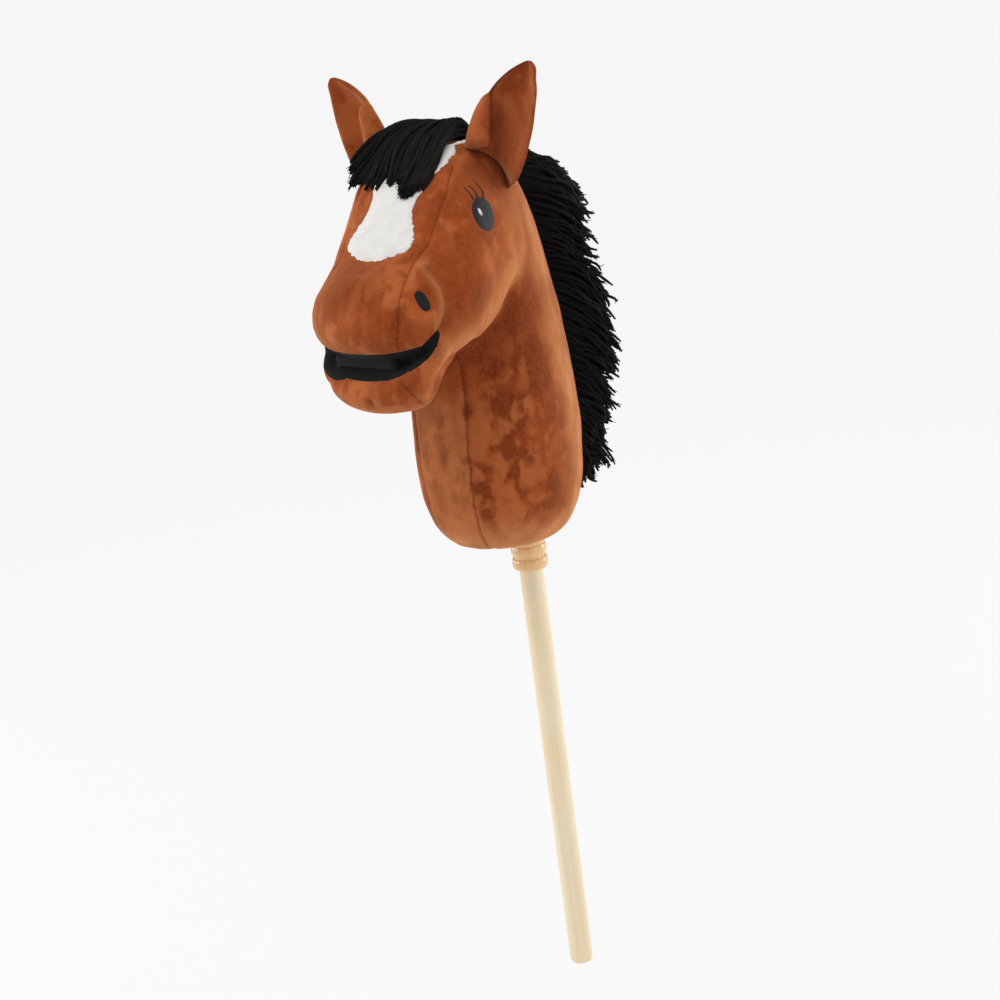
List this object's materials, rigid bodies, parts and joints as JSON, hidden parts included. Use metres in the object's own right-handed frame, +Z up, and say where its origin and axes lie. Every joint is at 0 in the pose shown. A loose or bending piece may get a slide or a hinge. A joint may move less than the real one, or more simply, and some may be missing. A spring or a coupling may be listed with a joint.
{
  "type": "hobby horse",
  "caption": "Plush horse's head and neck with yarn mane and stitched face on a turned wooden collar, ridden on a round wooden stick that pulls out.",
  "frame": {"origin": "centre of the stick's flat lower end", "axes": "+Z up the stick, the horse faces -Y, and the horse's left side is +X"},
  "size_m": [0.2266, 0.3305, 0.8657],
  "materials": {
    "pale_wood": "smooth, unvarnished",
    "lacquered_wood": "glossy lacquer",
    "brown_board": "matt, out of sight inside the neck",
    "bay_plush": "short crushed pile",
    "white_plush": "short pile",
    "black_cloth": "matt woven",
    "black_thread": "satin-stitched thread",
    "white_thread": "satin-stitched thread",
    "black_yarn": "soft twisted yarn",
    "white_fibre": "loose fibre fill, hidden"
  },
  "bodies": {
    "pole": {"stick": "pale_wood"},
    "head": {"socket_plug": "pale_wood", "collar": "lacquered_wood", "socket_tube": "brown_board", "left_side_panel": "bay_plush", "right_side_panel": "bay_plush", "face_panel": "bay_plush", "throat_panel": "bay_plush", "left_ear_back": "bay_plush", "left_ear_inner": "bay_plush", "right_ear_back": "bay_plush", "right_ear_inner": "bay_plush", "blaze": "white_plush", "mouth_upper_lining": "black_cloth", "mouth_lower_lining": "black_cloth", "hem_tie": "black_thread", "mane_tape": "black_thread", "left_eye": "black_thread", "right_eye": "black_thread", "left_nostril": "black_thread", "right_nostril": "black_thread", "left_lash_1": "black_thread", "left_lash_2": "black_thread", "left_lash_3": "black_thread", "right_lash_1": "black_thread", "right_lash_2": "black_thread", "right_lash_3": "black_thread", "left_eye_glint": "white_thread", "right_eye_glint": "white_thread", "mane": "black_yarn", "forelock": "black_yarn", "head_stuffing": "white_fibre", "jaw_stuffing": "white_fibre", "neck_stuffing": "white_fibre"}
  },
  "joints": [
    {"name": "head_lift", "type": "slide", "parent": "pole", "child": "head", "axis": [0, 0, 1], "range_m": [0, 0.21]}
  ]
}
